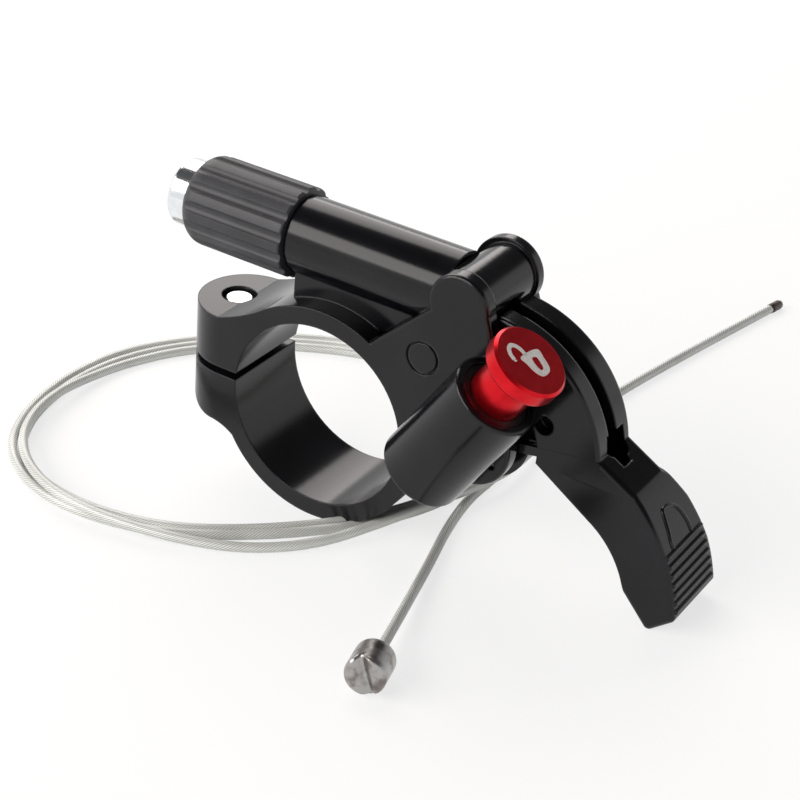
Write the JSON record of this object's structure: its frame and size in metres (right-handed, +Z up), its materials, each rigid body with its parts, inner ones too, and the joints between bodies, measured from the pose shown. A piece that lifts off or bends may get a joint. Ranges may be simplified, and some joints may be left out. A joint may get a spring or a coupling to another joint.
{
  "type": "fork lockout lever",
  "caption": "Handlebar remote for a bicycle fork lockout: split clamp, sprung thumb lever, red release button, cable adjuster and loose inner cable.",
  "frame": {"origin": "centre of the handlebar clamp's bore, on the bar's centre line at mid width of the clamp", "axes": "+Y along the handlebar, away from the button's side; +Z up from the table that the clamp ring and the lever's tip stand on; +X towards the lever"},
  "size_m": [0.0908, 0.1071, 0.0383],
  "materials": {
    "black_casting": "gloss black paint on a cast aluminium body",
    "zinc_steel": "zinc plated steel",
    "black_steel": "black oxide steel",
    "brass_bush": "plain turned brass",
    "nylon": "moulded nylon",
    "spring_steel": "spring wire",
    "red_anodised": "satin red anodised aluminium",
    "black_plastic": "moulded black acetal",
    "sleeve_plastic": "moulded dark grey plastic, fluted",
    "bright_plate": "bright nickel plate",
    "seal_rubber": "black rubber",
    "zinc_cast": "cast zinc alloy, rough",
    "cable_strand": "stranded galvanised steel wire"
  },
  "bodies": {
    "clamp": {"housing_body": "black_casting", "clamp_bolt": "zinc_steel", "pivot_screw": "black_steel", "pivot_bush": "brass_bush", "thrust_washer": "nylon", "button_collar": "black_plastic", "sleeve_clip": "spring_steel", "sleeve_seal": "seal_rubber", "return_spring": "spring_steel", "button_spring": "spring_steel", "cable_nipple": "zinc_cast", "cable_head_run": "cable_strand", "cable_coil": "cable_strand", "cable_tip_run": "cable_strand"},
    "thumb_lever": {"lever": "black_casting"},
    "button": {"push_button": "red_anodised", "button_foot": "zinc_steel", "catch_pin": "zinc_steel"},
    "sleeve": {"adjuster_sleeve": "sleeve_plastic"},
    "barrel": {"adjuster_barrel": "bright_plate", "casing_ferrule": "bright_plate"}
  },
  "joints": [
    {"name": "lever_pivot", "type": "hinge", "parent": "clamp", "child": "thumb_lever", "pos_m": [0.01967, 0, 0.00283], "axis": [0, 1, 0], "range_deg": [0, 35], "stiffness_Nm_per_rad": 0.12, "springref_deg": -51.57, "deforming": ["return_spring"]},
    {"name": "button_press", "type": "slide", "parent": "clamp", "child": "button", "axis": [-0.6004, 0, -0.7997], "range_m": [0, 0.0024], "stiffness_N_per_m": 800, "springref_m": -0.004, "deforming": ["button_spring"]},
    {"name": "barrel_travel", "type": "slide", "parent": "clamp", "child": "barrel", "axis": [-0.9972, 0, 0.0749], "range_m": [0, 0.003]},
    {"name": "sleeve_turn", "type": "hinge", "parent": "clamp", "child": "sleeve", "pos_m": [-0.01207, -0.0004, 0.01956], "axis": [0.9972, 0, -0.0749], "range_deg": [0, 1080]}
  ],
  "couplings": [
    {"joint": "sleeve_turn", "follows": "barrel_travel", "rad_per_m": 6283.2}
  ]
}
